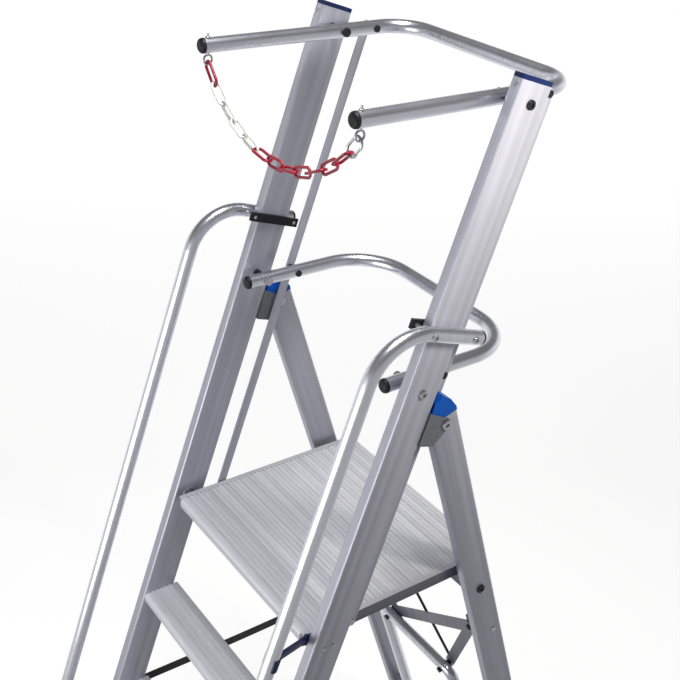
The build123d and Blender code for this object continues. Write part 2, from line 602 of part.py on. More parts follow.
# Handrails: bent tubes across the outer face of the stiles, clamped there
handrail_end = STILE_HALF + HANDRAIL_TAIL
handrail_points = [
    (HANDRAIL_X, handrail_end, HANDRAIL_TOP_S),
    (HANDRAIL_X, HANDRAIL_D, HANDRAIL_TOP_S),
    (HANDRAIL_X, HANDRAIL_D, HANDRAIL_LOW_S),
    (HANDRAIL_X, handrail_end, HANDRAIL_LOW_S),
]
handrail = bent_tube(handrail_points, HANDRAIL_BEND, RAIL_RADIUS, RAIL_WALL)
handrail_plugs = []
clamp_bars = []
clamp_screws = []
clamp_end = STILE_HALF + CLAMP_OVERHANG
for s in (HANDRAIL_TOP_S, HANDRAIL_LOW_S):
    handrail_plugs.append(end_plug((HANDRAIL_X, handrail_end, s), (0, 1, 0), RAIL_RADIUS, RAIL_WALL))
    clamp = block((CLAMP_IN, STILE_IN), (-clamp_end, clamp_end), (s - CLAMP_HEIGHT / 2, s + CLAMP_HEIGHT / 2))
    for d in (-STILE_HALF - CLAMP_SCREW_INSET, STILE_HALF + CLAMP_SCREW_INSET):
        hole = bar_x((CLAMP_IN - 1, HANDRAIL_X + RAIL_DIA), d, s, CLAMP_SCREW + SEAT_FIT)
        clamp -= hole
        handrail -= hole
        screw_x = (CLAMP_IN, HANDRAIL_X + RAIL_RADIUS)
        clamp_screws.append(bolt_x(screw_x, d, s, CLAMP_SCREW, CLAMP_SCREW))
    clamp_bars.append(clamp)
save("handrail_right", STILE * handrail)
save("handrail_left", mirrored(STILE * handrail))
save("handrail_plugs", pair(STILE * group(*handrail_plugs)))
save("handrail_clamps", pair(STILE * group(*clamp_bars)))
save("handrail_screws", pair(STILE * group(*clamp_screws)))

# Stay from the inner face of the right stile to a clip behind the right handrail
stay_foot = (STILE_IN - STAY_TAB / 2, -STILE_HALF - STAY_TAB)
stay_run = (stay_foot[0] - HANDRAIL_X, stay_foot[1] - HANDRAIL_D)
stay_mid = Pos((stay_foot[0] + HANDRAIL_X) / 2, (stay_foot[1] + HANDRAIL_D) / 2, -STAY_DOWN)
stay_turn = Rot(0, 0, degrees(atan2(stay_run[1], stay_run[0])))
stay = stay_mid * stay_turn * Box(hypot(*stay_run), STAY_WIDTH, STAY_HEIGHT)
stay_s = (-STAY_DOWN - STAY_TAB_HEIGHT / 2, STAY_TAB_HEIGHT / 2 - STAY_DOWN)
stay_tab_d = (stay_foot[1] - STAY_WIDTH / 2, STAY_TAB_LENGTH - STILE_HALF)
stay += block((STILE_IN - STAY_TAB, STILE_IN), stay_tab_d, stay_s)
clip_x = (HANDRAIL_X - RAIL_DIA, HANDRAIL_X + RAIL_DIA)
clip_front = block(clip_x, (HANDRAIL_D - RAIL_DIA, HANDRAIL_D - STAY_CLIP_LIP), stay_s)
stay += bar_z(HANDRAIL_X, HANDRAIL_D, stay_s, RAIL_RADIUS + STAY_CLIP_WALL) - clip_front
stay -= bar_z(HANDRAIL_X, HANDRAIL_D, stay_s, RAIL_RADIUS + SEAT_FIT)
save("handrail_stay", STILE * stay - stay_hole)

# Legs
leg_span = (LEG_FOOT_T - LEG_DEPTH, LEG_ABOVE_HINGE)
leg_solid = above(section_bar(LEG, LEG_WIDTH, LEG_DEPTH, 0, leg_span), SHOE_SOLE)
leg_bore = section_bar(LEG, LEG_WIDTH, LEG_DEPTH, -TUBE_WALL, leg_span)
leg = leg_solid - leg_bore
hinge_bush_radius = HINGE_RADIUS + HINGE_BUSH_WALL
leg -= LEG * bar_x(through, 0, 0, hinge_bush_radius + SEAT_FIT)
leg -= bar_x((STILE_X, STILE_OUT), strap_rear, STRAP_Z, STRAP_RIVET + SEAT_FIT)
bush = bar_x((LEG_IN, LEG_OUT), 0, 0, hinge_bush_radius)
bush -= bar_x((LEG_IN, LEG_OUT), 0, 0, HINGE_RADIUS + RUN_FIT)
save("hinge_bushes", pair(LEG * bush))

cap_points = [
    (-LEG_HALF, LEG_ABOVE_HINGE),
    (-LEG_HALF * 0.71, LEG_ABOVE_HINGE + LEG_CAP_HEIGHT * 0.55),
    (-LEG_HALF * 0.34, LEG_ABOVE_HINGE + LEG_CAP_HEIGHT * 0.9),
    (LEG_HALF * 0.31, LEG_ABOVE_HINGE + LEG_CAP_HEIGHT),
    (LEG_HALF * 0.74, LEG_ABOVE_HINGE + LEG_CAP_HEIGHT * 0.65),
    (LEG_HALF, LEG_ABOVE_HINGE + LEG_CAP_HEIGHT * 0.18),
    (LEG_HALF, LEG_ABOVE_HINGE),
]
cap = plate(make_face(Polyline(*cap_points, close=True)), (LEG_IN, LEG_OUT))
stem_x = (LEG_IN + TUBE_WALL + SEAT_FIT, LEG_OUT - TUBE_WALL - SEAT_FIT)
stem_d = LEG_HALF - TUBE_CORNER
cap += block(stem_x, (-stem_d, stem_d), (LEG_ABOVE_HINGE - LEG_CAP_STEM, LEG_ABOVE_HINGE))
cap -= bar_x((LEG_IN, LEG_OUT), 0, 0, hinge_bush_radius + SIDE_PLAY)
save("leg_caps", pair(LEG * cap))


def hollow_bar(location, y_span, z_span):
    """Rectangular tube between the legs, with a plug in each end."""
    skin = block((-LEG_IN, LEG_IN), y_span, z_span)
    skin = fillet(skin.edges().filter_by(Axis.X), TUBE_WALL)
    inner_y = (y_span[0] + TUBE_WALL, y_span[1] - TUBE_WALL)
    inner_z = (z_span[0] + TUBE_WALL, z_span[1] - TUBE_WALL)
    skin -= block((-LEG_IN, LEG_IN), inner_y, inner_z)
    plug_y = (inner_y[0] + SEAT_FIT, inner_y[1] - SEAT_FIT)
    plug_z = (inner_z[0] + SEAT_FIT, inner_z[1] - SEAT_FIT)
    plug = block((LEG_IN - BAR_PLUG, LEG_IN), plug_y, plug_z)
    middle = ((y_span[0] + y_span[1]) / 2, (z_span[0] + z_span[1]) / 2)
    plug -= bar_x((LEG_IN - BAR_PLUG, LEG_IN), *middle, BAR_BOLT + SEAT_FIT)
    bolt = bolt_x((LEG_IN - BAR_PLUG, LEG_OUT), *middle, BAR_BOLT)
    hole = bar_x(through, *middle, BAR_BOLT + SEAT_FIT)
    return location * skin, location * plug, location * bolt, location * hole


# Rest bar under the platform and cross bar between the lower ends of the legs
rest_top = PLATFORM_TOP - PLATFORM_THICK
rest_mid = leg_mid(rest_top - REST_BAR_HEIGHT / 2)
rest_y = (rest_mid - REST_BAR_DEPTH / 2, rest_mid + REST_BAR_DEPTH / 2)
rest_z = (rest_top - REST_BAR_HEIGHT, rest_top)
rest_bar, rest_plug, rest_bolt, rest_hole = hollow_bar(Location(), rest_y, rest_z)
bow_radius = BOW_DIA / 2
cross_front = BOW_D + bow_radius
cross_d = (cross_front, cross_front + REST_BAR_DEPTH)
cross_t = (CROSS_BAR_T - CROSS_BAR_HEIGHT / 2, CROSS_BAR_T + CROSS_BAR_HEIGHT / 2)
cross_bar, cross_plug, cross_bolt, cross_hole = hollow_bar(LEG, cross_d, cross_t)
leg -= rest_hole
leg -= cross_hole
save("platform_rest_bar", rest_bar)
save("cross_bar_plugs", pair(group(rest_plug, cross_plug)))
save("cross_bar_bolts", pair(group(rest_bolt, cross_bolt)))

# Bow in front of the cross bar
bow_low = CROSS_BAR_T - BOW_TAIL
bow_points = [
    (-BOW_HALF, BOW_D, bow_low),
    (-BOW_HALF, BOW_D, BOW_TOP_T),
    (BOW_HALF, BOW_D, BOW_TOP_T),
    (BOW_HALF, BOW_D, bow_low),
]
bow = bent_tube(bow_points, BOW_BEND, bow_radius, BOW_WALL)
bow_front = BOW_D - bow_radius
bow_bolt_holes = []
bow_bolts = []
for x in (-BOW_HALF, BOW_HALF):
    bow_bolt_holes.append(bar_y(x, (bow_front - 1, cross_d[1] + 1), CROSS_BAR_T, BRACE_BOLT + SEAT_FIT))
    shank = bar_y(x, (bow_front - BRACE_NUT, cross_d[1] + BRACE_NUT), CROSS_BAR_T, BRACE_BOLT)
    head = bar_y(x, (bow_front - BRACE_NUT, bow_front), CROSS_BAR_T, BRACE_BOLT * BOLT_HEAD_RATIO)
    nut = bar_y(x, (cross_d[1], cross_d[1] + BRACE_NUT), CROSS_BAR_T, BRACE_BOLT * BOLT_HEAD_RATIO)
    bow_bolts.append(LEG * (shank + head + nut))
for hole in bow_bolt_holes:
    bow -= hole
    cross_bar -= LEG * hole
save("rear_cross_bar", cross_bar)

# Flat braces in two layers behind the bow, and the cleats on the legs
diagonal_d = (cross_front, cross_front + BRACE_THICK)
strut_d = (diagonal_d[1], diagonal_d[1] + BRACE_THICK)
rod_d = (strut_d[1], strut_d[1] + ROD_EYE_THICK)
cleat_d = (strut_d[1], strut_d[1] + BRACE_THICK)
brace_end_x = LEG_IN - BRACE_END_INSET


def flat_link(start, finish, width, d_span):
    """Flat bar with round ends and a bolt hole at each end."""
    run = (finish[0] - start[0], finish[1] - start[1])
    middle = Pos((start[0] + finish[0]) / 2, (start[1] + finish[1]) / 2)
    outline = middle * Rot(0, 0, degrees(atan2(run[1], run[0]))) * SlotCenterToCenter(hypot(*run), width)
    link_bar = facing_plate(outline, d_span)
    for x, t in (start, finish):
        link_bar -= bar_y(x, d_span, t, BRACE_BOLT + SEAT_FIT)
    return LEG * link_bar


diagonal = flat_link((-BRACE_X, BOW_TOP_T), (brace_end_x, BRACE_T), DIAGONAL_WIDTH, diagonal_d)
save("diagonal_brace", diagonal)
strut = flat_link((BRACE_X, BOW_TOP_T), (brace_end_x, BRACE_T), STRUT_WIDTH, strut_d)
save("brace_struts", pair(strut))

cleat_t = (BRACE_T - CLEAT_LENGTH / 2, BRACE_T + CLEAT_LENGTH / 2)
cleat = block((LEG_IN - CLEAT_REACH, LEG_IN), cleat_d, cleat_t)
cleat += block((LEG_IN - BRACE_THICK, LEG_IN), (cleat_d[0], cleat_d[0] + CLEAT_DEPTH), cleat_t)
cleat -= bar_y(brace_end_x, cleat_d, BRACE_T, BRACE_BOLT + SEAT_FIT)
cleat_bolt_d = cleat_d[1] + (CLEAT_DEPTH - BRACE_THICK) / 2
cleat_hole = bar_x((LEG_IN - 2 * BRACE_THICK, STILE_OUT), cleat_bolt_d, BRACE_T, BRACE_BOLT + SEAT_FIT)
cleat -= cleat_hole
leg -= LEG * cleat_hole
save("brace_cleats", pair(LEG * cleat))
cleat_nut_x = (LEG_IN - BRACE_THICK - STEP_RIVET, LEG_IN - BRACE_THICK)
cleat_rivet = rivet_x((cleat_nut_x[0], LEG_OUT), cleat_bolt_d, BRACE_T, BRACE_BOLT, STEP_RIVET)
cleat_rivet += bar_x(cleat_nut_x, cleat_bolt_d, BRACE_T, BRACE_BOLT * BOLT_HEAD_RATIO)
save("rear_rivets", pair(group(rear_rivet, LEG * cleat_rivet)))

save("leg_right", leg)
save("leg_left", mirrored(leg))


def brace_bolt(x, t, front, back):
    """Bolt through a stack of braces, with its head in front and its nut behind."""
    shank = bar_y(x, (front - BRACE_NUT, back + BRACE_NUT), t, BRACE_BOLT)
    head = bar_y(x, (front - BRACE_NUT, front), t, BRACE_BOLT * BOLT_HEAD_RATIO)
    nut = bar_y(x, (back, back + BRACE_NUT), t, BRACE_BOLT * BOLT_HEAD_RATIO)
    return LEG * (shank + head + nut)


def washer(x, t):
    """Spacer in the layer of the diagonal, where the diagonal does not reach."""
    ring = bar_y(x, diagonal_d, t, BRACE_BOLT * BOLT_HEAD_RATIO)
    return LEG * (ring - bar_y(x, diagonal_d, t, BRACE_BOLT + SEAT_FIT))


brace_bolts = [
    brace_bolt(-BRACE_X, BOW_TOP_T, bow_front, strut_d[1]),
    brace_bolt(BRACE_X, BOW_TOP_T, bow_front, rod_d[1]),
    brace_bolt(brace_end_x, BRACE_T, diagonal_d[0], cleat_d[1]),
    brace_bolt(-brace_end_x, BRACE_T, diagonal_d[0], cleat_d[1]),
]
washers = [washer(BRACE_X, BOW_TOP_T), washer(-brace_end_x, BRACE_T)]
save("brace_bolts", group(*brace_bolts, *bow_bolts, *washers))
for x in (-BRACE_X, BRACE_X):
    bow -= bar_y(x, (bow_front - 1, strut_d[1]), BOW_TOP_T, BRACE_BOLT + SEAT_FIT)
save("brace_bow", LEG * bow)
bow_plugs = [end_plug((x, BOW_D, bow_low), (0, 0, -1), bow_radius, BOW_WALL) for x in (-BOW_HALF, BOW_HALF)]
save("bow_plugs", LEG * group(*bow_plugs))

# Thin tie rod from the bow up to the underside of the rest bar
rod_mid = (rod_d[0] + rod_d[1]) / 2
rod_foot = (LEG * Pos(BRACE_X, rod_mid, BOW_TOP_T)).position
rest_low = rest_top - REST_BAR_HEIGHT
rod_top = Vector(ROD_TOP_X, rest_mid, rest_low - ROD_NUT_HEIGHT / 2)
rod_run = rod_top - rod_foot
rod_plane = Plane(rod_foot, z_dir=rod_run)
rod = rod_plane.location * Pos(0, 0, rod_run.length / 2) * Cylinder(ROD_RADIUS, rod_run.length)
rod += LEG * bar_y(BRACE_X, rod_d, BOW_TOP_T, ROD_EYE)
rod += bar_z(ROD_TOP_X, rest_mid, (rest_low - ROD_NUT_HEIGHT, rest_low), ROD_NUT)
rod -= LEG * bar_y(BRACE_X, (rod_d[0] - 1, rod_d[1] + 1), BOW_TOP_T, BRACE_BOLT + SEAT_FIT)
save("tie_rod", rod)

# Guard chain: an arc of alternating links from the left eye, ending in a snap hook on the right eye
chain_pull = 2 * atan2(CHAIN_SAG, RAIL_X)
chain_half = RAIL_X + EYE_WIRE * cos(chain_pull)
chain_top = eye_z - eye_ring + EYE_WIRE * sin(chain_pull)
chain_radius = (chain_half**2 + CHAIN_SAG**2) / (2 * CHAIN_SAG)
chain_turn = 2 * asin(chain_half / chain_radius)
hook_turn = 2 * asin(HOOK_PITCH / (2 * chain_radius))
link_turn = (chain_turn - hook_turn) / CHAIN_LINKS
chain_pitch = 2 * chain_radius * sin(link_turn / 2)


def chain_point(angle):
    """Point of the chain's arc, the angle counted from its lowest point."""
    x = chain_radius * sin(angle)
    z = chain_top - CHAIN_SAG + chain_radius * (1 - cos(angle))
    return Vector(x, eye_y, z)


def oval_ring(inside_length, inside_radius, wire):
    """Oval of round wire, long along its own X, lying in its own XY."""
    reach = inside_length / 2 - inside_radius
    bend = inside_radius + wire
    outline = SlotCenterToCenter(2 * reach, 2 * bend)
    path = outline.wire()
    start = Plane(path @ 0, z_dir=path % 0)
    return sweep(start * Circle(wire), path=path)


def chain_place(start, finish):
    """Frame with X along the chain and Y in the chain's own plane."""
    run = finish - start
    return Plane((start + finish) * 0.5, x_dir=run, z_dir=(0, -1, 0)).location


chain_ring = oval_ring(chain_pitch + CHAIN_SLACK, CHAIN_INSIDE, CHAIN_WIRE)
red_links = []
white_links = []
for count in range(CHAIN_LINKS):
    angle = count * link_turn - chain_turn / 2
    place = chain_place(chain_point(angle), chain_point(angle + link_turn))
    quarter = Rot(90 * (count % 2), 0, 0)
    white = CHAIN_FIRST_WHITE <= count <= CHAIN_LAST_WHITE
    (white_links if white else red_links).append(place * quarter * chain_ring)
save("chain_red_links", group(*red_links))
save("chain_white_links", group(*white_links))

# Snap hook: an oval of wire open along one side, with a hinged gate across the opening
hook_angle = chain_turn / 2 - hook_turn
hook_place = chain_place(chain_point(hook_angle), chain_point(chain_turn / 2)) * Rot(180, 0, 0)
hook_bend = HOOK_INSIDE + HOOK_WIRE
hook_reach = (HOOK_PITCH + CHAIN_SLACK) / 2 - HOOK_INSIDE
hook_path = [
    Line((-hook_reach, -hook_bend), (hook_reach, -hook_bend)),
    ThreePointArc((hook_reach, -hook_bend), (hook_reach + hook_bend, 0), (hook_reach, hook_bend)),
    ThreePointArc((-hook_reach, hook_bend), (-hook_reach - hook_bend, 0), (-hook_reach, -hook_bend)),
]
hook_wire = Wire(hook_path)
hook_start = Plane(hook_wire @ 0, z_dir=hook_wire % 0)
hook = sweep(hook_start * Circle(HOOK_WIRE), path=hook_wire)
gate_tongue_half = GATE_TONGUE / 2
gate_pin_u = -hook_reach + HOOK_WIRE + GATE_PIN
cheek_u = (-hook_reach - HOOK_WIRE / 2, gate_pin_u + HOOK_WIRE)
cheek_v = (hook_bend - HOOK_WIRE * 0.8, hook_bend + HOOK_WIRE * 0.8)
cheek_in = gate_tongue_half + SIDE_PLAY
for side_sign in (-1, 1):
    cheek_w = sorted((side_sign * cheek_in, side_sign * (cheek_in + GATE_CHEEK)))
    hook += block(cheek_u, cheek_v, cheek_w)
pin_w = (-cheek_in - GATE_CHEEK, cheek_in + GATE_CHEEK)
hook += bar_z(gate_pin_u, hook_bend, pin_w, GATE_PIN)
save("snap_hook", hook_place * hook)
gate_tongue_u = (gate_pin_u - GATE_PIN - GATE_TONGUE / 2, gate_pin_u + 3 * GATE_PIN + GATE_TONGUE)
gate_tongue_v = (hook_bend - 2 * GATE_PIN, hook_bend + 2 * GATE_PIN)
gate = block(gate_tongue_u, gate_tongue_v, (-gate_tongue_half, gate_tongue_half))
gate_rod_u = (gate_pin_u + HOOK_WIRE + GATE_CHEEK + SIDE_PLAY, hook_reach - GATE_END_GAP)
gate += bar_x(gate_rod_u, hook_bend, 0, GATE_RADIUS)
gate -= bar_z(gate_pin_u, hook_bend, (-GATE_TONGUE, GATE_TONGUE), GATE_PIN + RUN_FIT)
save("snap_gate", hook_place * gate)
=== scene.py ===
"""Looks of the platform stepladder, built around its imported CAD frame."""
import json
from math import cos, radians, sin

import bmesh
import bpy
from mathutils import Matrix, Vector


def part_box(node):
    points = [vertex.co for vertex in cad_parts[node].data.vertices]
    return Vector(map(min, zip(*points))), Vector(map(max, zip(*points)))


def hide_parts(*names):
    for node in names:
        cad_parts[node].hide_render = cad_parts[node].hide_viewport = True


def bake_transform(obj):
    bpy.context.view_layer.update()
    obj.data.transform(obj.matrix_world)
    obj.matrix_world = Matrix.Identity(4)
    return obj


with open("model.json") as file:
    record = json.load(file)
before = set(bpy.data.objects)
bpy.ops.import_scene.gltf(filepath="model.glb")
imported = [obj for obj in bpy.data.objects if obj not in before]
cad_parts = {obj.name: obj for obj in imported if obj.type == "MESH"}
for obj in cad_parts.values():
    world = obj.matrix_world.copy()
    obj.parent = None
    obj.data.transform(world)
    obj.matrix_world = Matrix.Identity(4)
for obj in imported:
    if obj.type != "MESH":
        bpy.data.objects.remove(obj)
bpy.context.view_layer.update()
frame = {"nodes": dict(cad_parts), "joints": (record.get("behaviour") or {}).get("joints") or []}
NODES = frame["nodes"]
JOINTS = {joint["name"]: joint for joint in frame["joints"]}

# Stiles lean back and legs lean forward, in degrees; a joint on each centre line fixes its place
STILE_LEAN = 18.0
LEG_LEAN = -19.0
STILE_POINT = JOINTS["platform_tilt"]["pos_m"]
LEG_POINT = JOINTS["rear_frame_fold"]["pos_m"]

# Camera: turned from the front towards the climber's right, looking down; place and reach in
# metres, lens and sensor in millimetres
CAMERA_AZIMUTH = radians(52.96)
CAMERA_HEIGHT = radians(29.11)
CAMERA_ROLL = radians(3.76)
CAMERA_PLACE = Vector((1.4898, -1.1261, 2.8008))
CAMERA_REACH = 200
CAMERA_LENS = 57.12
SENSOR = 36.0

# Colours of the metals
ALUMINIUM = (0.43, 0.428, 0.5)
LEG = (0.4, 0.398, 0.47)
TREAD = (0.56, 0.56, 0.605)
TUBE = (0.69, 0.69, 0.76)
# Painted shade: bars, braces and platform sides are the same aluminium, darkened to stand for the
# shade they sit in
PAINTED_SHADE_ALUMINIUM = (0.15, 0.149, 0.188)

# Brushed metal. Tones are factors on its colour; a rough pair is added to its roughness
STREAK_DARKER = 0.2
STREAK_LIGHTER = 0.12
STREAK_HEIGHT = 0.6
GRAIN_TONE = 0.72
GRAIN_ROUGH = (-0.05, 0.06)
GRAIN_BUMP = 0.14
GRAIN_DEPTH = 0.0006
SMUDGE_TONE = 0.78
SMUDGE_ROUGH = (-0.05, 0.07)
SCRATCH_TONE = 1.35
TUBE_LOOK = {"rough": 0.28, "metallic": 0.97, "grain": 0.06, "streak": 0.4}
# How strongly the wide faces of the stiles and legs are domed, in 1/m
CROWN = 2.7

# Moulded plastic. A scuff fades the colour and lifts it towards white
SKIN_SCALE = 1400
SKIN_DEPTH = 0.0004
FLOW_SCALE = (30, 30, 9)
FLOW_ROUGH = (-0.06, 0.06)
SCUFF_TURN = (20, 35, 10)
SCUFF_SCALE = (240, 25, 240)
SCUFF_FADE = 0.8
SCUFF_LIFT = 0.06
SCUFF_ROUGH = (-0.03, 0.1)

# Plated steel
CRYSTAL_SCALE = 420
CRYSTAL_TONES = (1.12, 0.82)
CLOUD_SCALE = 160
CLOUD_TONE = 0.6
CLOUD_ROUGH = (-0.08, 0.14)
CLOUD_BUMP = 0.12
CLOUD_DEPTH = 0.0004

# Webbing
WEAVE_TONES = (0.55, 1.5)
WEAVE_BUMP = 0.5
WEAVE_DEPTH = 0.0006
FUZZ_SCALE = 900
FUZZ_TONE = 2.2
WEBBING_ROUGH = 0.85
WEBBING_SHEEN = 0.3

# Straps: hang in the middle in metres, rings along a strap and corners of a ring, and powers that
# square the ring up
STRAP_SAG = 0.006
STRAP_STEPS = 60
STRAP_CORNERS = 16
STRAP_SIDE_POWER = 0.5
STRAP_RISE_POWER = 0.35

# Stage. Upright metal mirrors the floor, so floor and wall glow white on one side, the sweep, and
# pale grey elsewhere. A floor glow is its strength near and far, then the two distances in metres
FLOOR_HALF = 100.0
FLOOR_COLOUR = (0.4, 0.4, 0.4)
FLOOR_GLOW = (0.08, 0.38, 0.8, 3.5)
SWEEP_GLOW = (0.76, 0.94, 2.0, 6.0)
# The sweep lies behind the object on the left. It comes in between two cosines to its side, along
# a power curve, and is softened within its size, in metres, round the middle of the floor
SWEEP_SIDE = (-0.846, 0.533, 0.0)
SWEEP_SIZE = 1.5
SWEEP_EDGE = (-0.9, 0.36)
SWEEP_CURVE = 3.0
SQUARE_ROOT = 0.5
# Wall strength outside and inside the sweep. It fades out between two heights of the view
# direction, and the ceiling's strength is added everywhere
WALL_GLOW = (0.31, 0.85)
WALL_EDGE = (0.08, 0.4)
CEILING_GLOW = 0.15

# Lamps: overhead, low in front, and a strip beside the top of the right stile. Each has its name,
# place, aim, width, height, watts, colour and whether metal mirrors it
WHITE = (1.0, 1.0, 1.0)
WARM = (1.0, 0.985, 0.87)
LAMPS = (
    ("top_lamp", (0.25, -0.15, 4.0), (0.0, 0.0, 1.4), 0.5, 0.8, 58, WHITE, True),
    ("front_lamp", (0.1, -1.9, 1.3), (0.0, -0.2, 1.3), 1.4, 1.2, 26, WHITE, True),
    ("strip_lamp", (0.89, 0.168, 2.42), (0.29, 0.168, 2.42), 0.1, 0.3, 14, WARM, False),
)


class Graph:
    """Short hand for building one node tree."""

    # Sockets of the mix node for colours, whose names its other data types share
    MIX_FACTOR = 0
    MIX_FIRST = 6
    MIX_SECOND = 7
    MIX_RESULT = 2

    def __init__(self, tree):
        self.tree = tree
        tree.nodes.clear()

    def add(self, kind, **settings):
        node = self.tree.nodes.new(kind)
        for name, value in settings.items():
            setattr(node, name, value)
        return node

    def join(self, output, socket):
        self.tree.links.new(output, socket)

    def mapping(self, vector, rotation=(0, 0, 0), scale=(1, 1, 1)):
        node = self.add("ShaderNodeMapping")
        node.inputs["Rotation"].default_value = [radians(angle) for angle in rotation]
        node.inputs["Scale"].default_value = scale
        self.join(vector, node.inputs["Vector"])
        return node.outputs["Vector"]

    def noise(self, vector, scale, detail, rough):
        node = self.add("ShaderNodeTexNoise")
        node.inputs["Scale"].default_value = scale
        node.inputs["Detail"].default_value = detail
        node.inputs["Roughness"].default_value = rough
        self.join(vector, node.inputs["Vector"])
        return node.outputs["Fac"]

    def wave(self, vector, direction, scale, distortion):
        node = self.add("ShaderNodeTexWave", wave_type="BANDS", bands_direction=direction)
        node.inputs["Scale"].default_value = scale
        node.inputs["Distortion"].default_value = distortion
        self.join(vector, node.inputs["Vector"])
        return node.outputs["Fac"]

    def spread(self, value, low, high, start=0.25, stop=0.75):
        """From low to high while the value goes from start to stop, which is most of a noise."""
        node = self.add("ShaderNodeMapRange")
        node.inputs["From Min"].default_value = start
        node.inputs["From Max"].default_value = stop
        node.inputs["To Min"].default_value = low
        node.inputs["To Max"].default_value = high
        self.join(value, node.inputs["Value"])
        return node.outputs["Result"]

    def mix(self, factor, first, second):
        node = self.add("ShaderNodeMix", data_type="RGBA")
        self.join(factor, node.inputs[self.MIX_FACTOR])
        for place, colour in ((self.MIX_FIRST, first), (self.MIX_SECOND, second)):
            if isinstance(colour, tuple):
                node.inputs[place].default_value = (*colour, 1)
            else:
                self.join(colour, node.inputs[place])
        return node.outputs[self.MIX_RESULT]

    def layer(self, under, over, mask, share, start, stop):
        """One colour over another, from none where the mask is at start to a share at stop."""
        return self.mix(self.spread(mask, 0.0, share, start, stop), under, over)

    def maths(self, operation, first, second):
        node = self.add("ShaderNodeMath", operation=operation)
        self.join(first, node.inputs[0])
        if isinstance(second, float):
            node.inputs[1].default_value = second
        else:
            self.join(second, node.inputs[1])
        return node.outputs[0]

    def along(self, vector, direction):
        node = self.add("ShaderNodeVectorMath", operation="DOT_PRODUCT")
        self.join(vector, node.inputs[0])
        node.inputs[1].default_value = direction
        return node.outputs["Value"]

    def sweep(self, side):
        """Share of the white sweep, from the cosine to its side."""
        return self.maths("POWER", self.spread(side, 0.0, 1.0, *SWEEP_EDGE), SWEEP_CURVE)

    def bump(self, height, strength, distance, normal=None):
        node = self.add("ShaderNodeBump")
        node.inputs["Strength"].default_value = strength
        node.inputs["Distance"].default_value = distance
        self.join(height, node.inputs["Height"])
        if normal:
            self.join(normal, node.inputs["Normal"])
        return node.outputs["Normal"]

    def crown(self, turned, lean, point):
        """Normal of a wide face that is slightly domed across a leaning bar."""
        middle = point[1] * cos(radians(lean)) - point[2] * sin(radians(lean))
        parts = self.add("ShaderNodeSeparateXYZ")
        self.join(turned, parts.inputs[0])
        across = self.maths("SUBTRACT", parts.outputs["Y"], middle)
        dome = self.maths("MULTIPLY", self.maths("MULTIPLY", across, across), -CROWN)
        return self.bump(dome, strength=1.0, distance=1.0)


def shade(colour, factor):
    return tuple(min(1.0, part * factor) for part in colour)


def new_material(name):
    material = bpy.data.materials.new(name)
    material.use_nodes = True
    graph = Graph(material.node_tree)
    shader = graph.add("ShaderNodeBsdfPrincipled")
    output = graph.add("ShaderNodeOutputMaterial")
    graph.join(shader.outputs["BSDF"], output.inputs["Surface"])
    place = graph.add("ShaderNodeTexCoord").outputs["Object"]
    return material, graph, shader, place


def brushed_metal(
    name, colour, rough, metallic,
    lean=0.0, along="z", grain=1.0, streak=1.0, crown_point=None, painted_lit_top=None,
):
    """Metal drawn along one direction: fine grain, wider streaks, smudges and sparse scratches;
    optionally a painted highlight on faces turned upwards.
    """
    material, graph, shader, place = new_material(name)
    turned = graph.mapping(place, rotation=(lean, 0, 0))
    axis = "xyz".index(along)

    def stretched(across, length):
        scale = [across] * 3
        scale[axis] = length
        return graph.mapping(turned, scale=scale)

    fine = graph.noise(stretched(across=700, length=3), scale=1, detail=4, rough=0.65)
    wide = graph.noise(stretched(across=70, length=0.9), scale=1, detail=3, rough=0.55)
    smudge = graph.noise(place, scale=7, detail=5, rough=0.6)
    scratch = graph.noise(stretched(across=420, length=11), scale=1, detail=2, rough=0.5)
    streaks = graph.spread(wide, 0.0, 1.0, start=0.3, stop=0.7)
    darker = shade(colour, 1 - STREAK_DARKER * streak)
    lighter = shade(colour, 1 + STREAK_LIGHTER * streak)
    tone = graph.mix(streaks, darker, lighter)
    grained = shade(colour, GRAIN_TONE)
    tone = graph.layer(tone, grained, fine, share=0.35 * grain, start=0.35, stop=0.8)
    smudged = shade(colour, SMUDGE_TONE)
    tone = graph.layer(tone, smudged, smudge, share=0.3, start=0.45, stop=0.8)
    scratched = shade(colour, SCRATCH_TONE)
    tone = graph.layer(tone, scratched, scratch, share=0.5 * grain, start=0.7, stop=0.78)
    # Painted light: faces turned upwards in the part's own frame are lightened towards this colour,
    # as if lit from above
    if painted_lit_top:
        facing = graph.add("ShaderNodeSeparateXYZ")
        graph.join(graph.add("ShaderNodeTexCoord").outputs["Normal"], facing.inputs[0])
        tone = graph.layer(tone, painted_lit_top, facing.outputs["Z"], share=0.9, start=0.6, stop=0.9)
    graph.join(tone, shader.inputs["Base Color"])
    worn = graph.spread(smudge, *(rough + part for part in SMUDGE_ROUGH))
    drawn = graph.spread(fine, *(part * grain for part in GRAIN_ROUGH))
    graph.join(graph.maths("ADD", worn, drawn), shader.inputs["Roughness"])
    shader.inputs["Metallic"].default_value = metallic
    domed = graph.crown(turned, lean, crown_point) if crown_point else None
    height = graph.maths("ADD", fine, graph.maths("MULTIPLY", wide, STREAK_HEIGHT))
    bumped = graph.bump(height, GRAIN_BUMP * grain, GRAIN_DEPTH, domed)
    graph.join(bumped, shader.inputs["Normal"])
    return material


